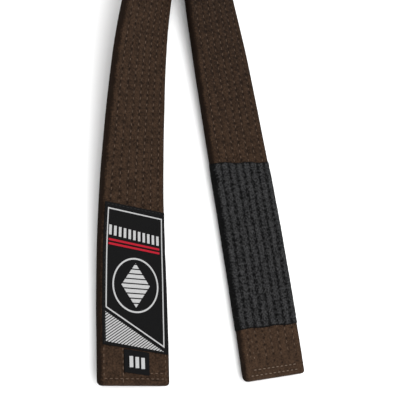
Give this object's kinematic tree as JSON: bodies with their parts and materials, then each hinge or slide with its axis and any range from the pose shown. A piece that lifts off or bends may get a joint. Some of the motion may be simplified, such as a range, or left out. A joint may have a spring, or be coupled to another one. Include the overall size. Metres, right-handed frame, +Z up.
{
  "type": "martial arts belt",
  "caption": "Brown quilted cotton martial arts belt, rolled up on its edge with both ends lying out: one with a black woven label, one with a black rank bar sleeve.",
  "frame": {"origin": "on the table, under the middle of the whole part", "axes": "+Z up from the table, +Y along the belt's ends towards the roll, +X to the right seen from the ends"},
  "size_m": [0.1526, 0.5218, 0.04],
  "materials": {
    "brown_cloth": "brown cotton twill, quilted",
    "padding": "cotton padding",
    "canvas": "stiff cotton canvas",
    "brown_thread": "spun brown sewing thread",
    "black_cloth": "black cotton twill, quilted",
    "black_thread": "black sewing thread",
    "label_weave": "black woven satin with white and red pattern",
    "label_thread": "dark sewing thread",
    "tab_weave": "black woven tape with a white mark"
  },
  "bodies": {
    "roll": {"cover_roll": "brown_cloth", "padding_a_roll": "padding", "canvas_core_roll": "canvas", "padding_b_roll": "padding", "needle_rows_roll": "brown_thread", "bobbin_rows_roll": "brown_thread"},
    "label_end": {"cover_label_end": "brown_cloth", "padding_a_label_end": "padding", "canvas_core_label_end": "canvas", "padding_b_label_end": "padding", "needle_rows_label_end": "brown_thread", "bobbin_rows_label_end": "brown_thread", "tip_seam_label_end": "brown_thread", "woven_label": "label_weave", "label_seam": "label_thread", "size_tab": "tab_weave"},
    "bar_end": {"cover_bar_end": "brown_cloth", "padding_a_bar_end": "padding", "canvas_core_bar_end": "canvas", "padding_b_bar_end": "padding", "needle_rows_bar_end": "brown_thread", "bobbin_rows_bar_end": "brown_thread", "tip_seam_bar_end": "brown_thread", "rank_bar_sleeve": "black_cloth", "rank_bar_quilting": "black_thread", "rank_bar_hem_seams": "black_thread"}
  },
  "joints": [
    {"name": "label_end_swing", "type": "hinge", "parent": "roll", "child": "label_end", "pos_m": [0.0402, 0.1734, 0.02], "axis": [0, 0, 1], "range_deg": [-30, 0]},
    {"name": "bar_end_swing", "type": "hinge", "parent": "roll", "child": "bar_end", "pos_m": [0.0462, 0.1734, 0.02], "axis": [0, 0, 1], "range_deg": [0, 30]}
  ]
}
